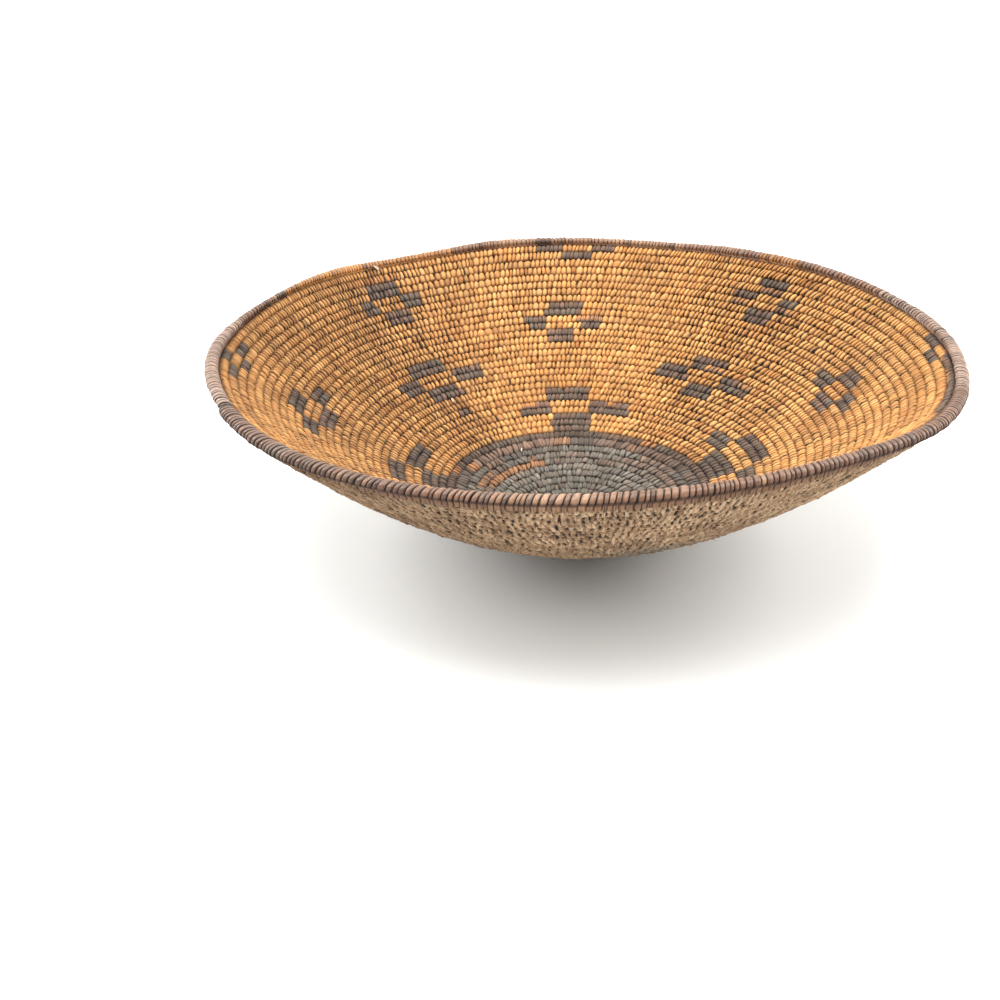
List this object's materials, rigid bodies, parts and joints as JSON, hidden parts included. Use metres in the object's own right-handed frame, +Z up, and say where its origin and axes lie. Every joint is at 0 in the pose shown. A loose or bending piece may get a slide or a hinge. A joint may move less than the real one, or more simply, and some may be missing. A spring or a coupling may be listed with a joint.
{
  "type": "coiled basket bowl",
  "caption": "Shallow coiled basket bowl of sewn splints over a stem bundle, with dark crosses, a dark centre and an overcast rim, to hold and carry dry goods.",
  "frame": {"origin": "on the floor, under the middle of the rim's outer box", "axes": "+Z up, out of the bowl's mouth; +Y away from the side that faced the camera, +X to its right"},
  "size_m": [0.357, 0.363, 0.11],
  "materials": {
    "willow_splint": "dry split willow, worn satin",
    "devils_claw_splint": "dry split devil's claw, worn satin",
    "rim_splint": "devil's claw polished by handling",
    "stem_bundle": "split stems, dull"
  },
  "bodies": {
    "root": {"start_knot": "devils_claw_splint", "base_coil_01": "devils_claw_splint", "base_coil_02": "devils_claw_splint", "base_coil_03": "devils_claw_splint", "base_coil_04": "devils_claw_splint", "base_coil_05": "devils_claw_splint", "base_coil_06": "devils_claw_splint", "base_coil_07": "devils_claw_splint", "base_coil_08": "devils_claw_splint", "base_coil_09": "devils_claw_splint", "base_coil_10": "devils_claw_splint", "base_coil_11": "devils_claw_splint", "base_coil_12": "devils_claw_splint", "base_coil_13": "devils_claw_splint", "wall_coil_01": "willow_splint", "wall_coil_02": "willow_splint", "wall_coil_03": "willow_splint", "wall_coil_04": "willow_splint", "wall_coil_05": "willow_splint", "wall_coil_06": "willow_splint", "wall_coil_07": "willow_splint", "wall_coil_08": "willow_splint", "wall_coil_09": "willow_splint", "wall_coil_10": "willow_splint", "wall_coil_11": "willow_splint", "wall_coil_12": "willow_splint", "wall_coil_13": "willow_splint", "wall_coil_14": "willow_splint", "wall_coil_15": "willow_splint", "wall_coil_16": "willow_splint", "wall_coil_17": "willow_splint", "wall_coil_18": "willow_splint", "wall_coil_19": "willow_splint", "wall_coil_20": "willow_splint", "wall_coil_21": "willow_splint", "wall_coil_22": "willow_splint", "wall_coil_23": "willow_splint", "wall_coil_24": "willow_splint", "wall_coil_25": "willow_splint", "wall_coil_26": "willow_splint", "wall_coil_27": "willow_splint", "wall_coil_28": "willow_splint", "foundation_bundle": "stem_bundle", "rim_overcast": "rim_splint", "rim_foundation": "stem_bundle", "rim_run_in": "rim_splint"}
  },
  "joints": []
}
